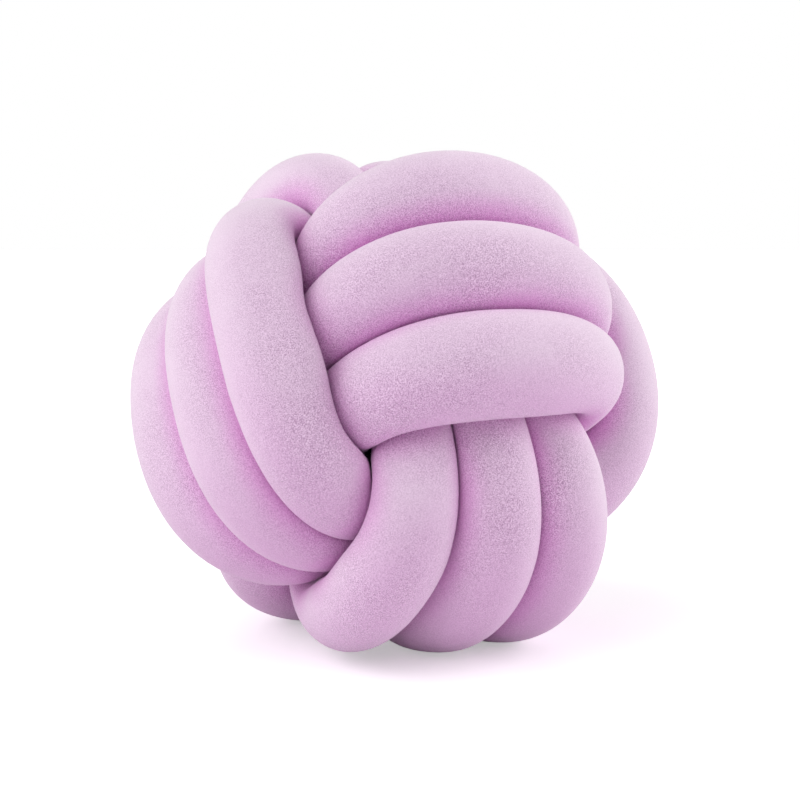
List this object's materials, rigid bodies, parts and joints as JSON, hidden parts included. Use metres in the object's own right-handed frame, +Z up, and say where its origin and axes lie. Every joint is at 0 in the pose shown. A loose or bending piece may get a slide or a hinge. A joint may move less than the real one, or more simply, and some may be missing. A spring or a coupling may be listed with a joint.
{
  "type": "ball knot cushion",
  "caption": "Round decorative cushion: a filled plush tube tied into a ball knot, with a small flat spot underneath that it rests on.",
  "frame": {"origin": "on the surface that the cushion rests on, under the middle of its bounding box", "axes": "+Z up from the surface; -Y towards the viewer of the corner where three bundles of turns meet; +X to that viewer's right"},
  "size_m": [0.2678, 0.2532, 0.2478],
  "materials": {
    "lilac_plush": "short-pile plush with a soft sheen"
  },
  "bodies": {
    "root": {"knot_tube": "lilac_plush"}
  },
  "joints": []
}
